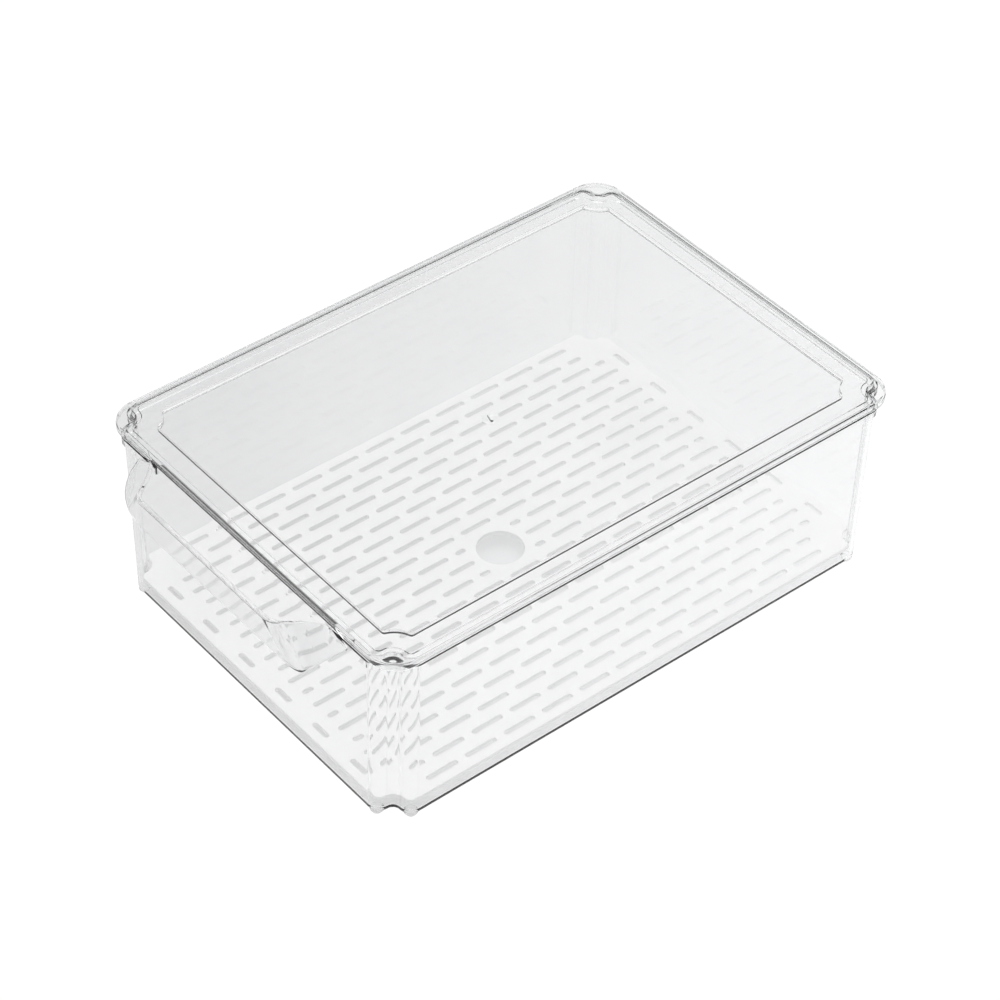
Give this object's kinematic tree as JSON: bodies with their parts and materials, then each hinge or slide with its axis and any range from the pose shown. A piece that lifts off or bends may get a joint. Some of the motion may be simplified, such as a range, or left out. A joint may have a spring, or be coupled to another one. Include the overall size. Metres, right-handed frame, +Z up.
{
  "type": "fridge bin",
  "caption": "Clear rectangular fridge bin with notched corners, a front loop handle, a lift-off lid and a slotted drain tray.",
  "frame": {"origin": "centre of the footprint, handle included, on the surface that the bin stands on", "axes": "+Z up, +Y along the length and away from the handle, +X to the right seen from behind the handle"},
  "size_m": [0.2106, 0.3163, 0.1007],
  "materials": {
    "clear_plastic": "clear polished moulding",
    "white_plastic": "smooth opaque white moulding"
  },
  "bodies": {
    "bin": {"bin_body": "clear_plastic"},
    "lid": {"lid": "clear_plastic"},
    "tray": {"drain_tray": "white_plastic"}
  },
  "joints": [
    {"name": "lid_lift", "type": "slide", "parent": "bin", "child": "lid", "axis": [0, 0, 1], "range_m": [0, 0.15]},
    {"name": "tray_lift", "type": "slide", "parent": "bin", "child": "tray", "axis": [0, 0, 1], "range_m": [0, 0.084]}
  ]
}
